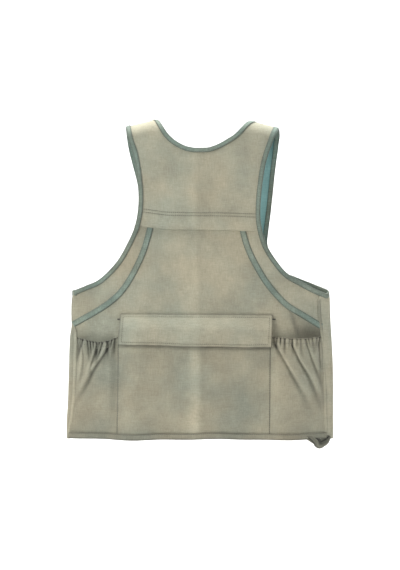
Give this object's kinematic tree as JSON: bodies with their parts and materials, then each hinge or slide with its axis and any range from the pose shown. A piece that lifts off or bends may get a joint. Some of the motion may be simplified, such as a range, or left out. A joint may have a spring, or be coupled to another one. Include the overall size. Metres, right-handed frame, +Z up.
{
  "type": "fishing vest",
  "caption": "Sleeveless canvas fishing vest with a caped back, a flapped rear pouch, gathered side pockets, bound edges and an open zip front.",
  "frame": {"origin": "midway between the shoulders, level with their tops, where the vest hangs", "axes": "+Z up, +Y towards the front, -Y towards the back, +X to the wearer's right"},
  "size_m": [0.537, 0.0887, 0.6479],
  "materials": {
    "canvas": "matte cotton canvas, faded",
    "teal_lining": "matte cotton lining",
    "binding_tape": "matte bias tape",
    "hem_tape": "matte folded canvas",
    "elastic": "woven elastic",
    "zip_tape": "matte woven tape",
    "tack_thread": "thread",
    "zip_metal": "aged satin",
    "snap_metal": "aged satin"
  },
  "bodies": {
    "vest_body": {"back_panel": "canvas", "back_lining": "teal_lining", "back_yoke": "canvas", "underarm_panel_left": "canvas", "underarm_panel_right": "canvas", "seam_tape_left": "binding_tape", "seam_tape_right": "binding_tape", "neck_binding": "binding_tape", "armhole_binding_left": "binding_tape", "armhole_binding_right": "binding_tape", "side_seam_left": "hem_tape", "side_seam_right": "hem_tape", "hem_band_back": "hem_tape", "hang_loop": "binding_tape", "pouch_panel": "canvas", "bar_tacks": "tack_thread", "front_strap_left": "canvas", "front_strap_right": "canvas", "strap_lining_left": "teal_lining", "strap_lining_right": "teal_lining", "front_side_left": "canvas", "front_side_right": "canvas"},
    "front_left": {"front_panel_left": "canvas", "front_lining_left": "teal_lining", "front_armhole_binding_left": "binding_tape", "front_hem_left": "hem_tape", "chest_pocket_left": "canvas", "cargo_pocket_left": "canvas", "snap_studs_left": "snap_metal", "zip_tape_left": "zip_tape", "zip_teeth_left": "zip_metal", "zip_pin": "zip_metal"},
    "chest_flap_left": {"chest_flap_left": "canvas", "chest_cap_left": "snap_metal"},
    "cargo_flap_left": {"cargo_flap_left": "canvas", "cargo_cap_left": "snap_metal"},
    "side_pocket_left": {"side_pocket_left": "canvas", "mouth_elastic_left": "elastic"},
    "front_right": {"front_panel_right": "canvas", "front_lining_right": "teal_lining", "front_armhole_binding_right": "binding_tape", "front_hem_right": "hem_tape", "chest_pocket_right": "canvas", "cargo_pocket_right": "canvas", "snap_studs_right": "snap_metal", "zip_tape_right": "zip_tape", "zip_teeth_right": "zip_metal", "zip_box": "zip_metal"},
    "chest_flap_right": {"chest_flap_right": "canvas", "chest_cap_right": "snap_metal"},
    "cargo_flap_right": {"cargo_flap_right": "canvas", "cargo_cap_right": "snap_metal"},
    "side_pocket_right": {"side_pocket_right": "canvas", "mouth_elastic_right": "elastic"},
    "pouch_flap": {"pouch_flap": "canvas"},
    "zip_slider": {"zip_slider": "zip_metal"},
    "zip_pull": {"zip_pull": "zip_metal"}
  },
  "joints": [
    {"name": "front_left_swing", "type": "hinge", "parent": "vest_body", "child": "front_left", "pos_m": [-0.2055, 0.01868, -0.35], "axis": [0.1682, 0.0317, 0.9852], "range_deg": [0, 80]},
    {"name": "front_right_swing", "type": "hinge", "parent": "vest_body", "child": "front_right", "pos_m": [0.2055, 0.01868, -0.35], "axis": [0.1682, -0.0317, -0.9852], "range_deg": [0, 80]},
    {"name": "pouch_flap_lift", "type": "hinge", "parent": "vest_body", "child": "pouch_flap", "pos_m": [0, -0.0279, -0.389], "axis": [-1, 0, 0], "range_deg": [0, 150]},
    {"name": "chest_flap_left_lift", "type": "hinge", "parent": "front_left", "child": "chest_flap_left", "pos_m": [-0.075, 0.0279, -0.258], "axis": [1, 0, 0], "range_deg": [0, 150]},
    {"name": "cargo_flap_left_lift", "type": "hinge", "parent": "front_left", "child": "cargo_flap_left", "pos_m": [-0.091, 0.0279, -0.432], "axis": [1, 0, 0], "range_deg": [0, 125]},
    {"name": "chest_flap_right_lift", "type": "hinge", "parent": "front_right", "child": "chest_flap_right", "pos_m": [0.075, 0.0279, -0.258], "axis": [1, 0, 0], "range_deg": [0, 150]},
    {"name": "cargo_flap_right_lift", "type": "hinge", "parent": "front_right", "child": "cargo_flap_right", "pos_m": [0.091, 0.0279, -0.432], "axis": [1, 0, 0], "range_deg": [0, 125]},
    {"name": "side_mouth_left", "type": "hinge", "parent": "vest_body", "child": "side_pocket_left", "pos_m": [-0.207, -0.01711, -0.63], "axis": [0.9826, -0.1857, 0], "range_deg": [0, 12], "stiffness_Nm_per_rad": 0.3},
    {"name": "side_mouth_right", "type": "hinge", "parent": "vest_body", "child": "side_pocket_right", "pos_m": [0.207, -0.01711, -0.63], "axis": [0.9826, 0.1857, 0], "range_deg": [0, 12], "stiffness_Nm_per_rad": 0.3},
    {"name": "zip_slide", "type": "slide", "parent": "front_right", "child": "zip_slider", "axis": [0, 0, 1], "range_m": [0, 0.372]},
    {"name": "zip_pull_lift", "type": "hinge", "parent": "zip_slider", "child": "zip_pull", "pos_m": [0.0071, 0.0326, -0.611], "axis": [1, 0, 0], "range_deg": [0, 165]}
  ]
}
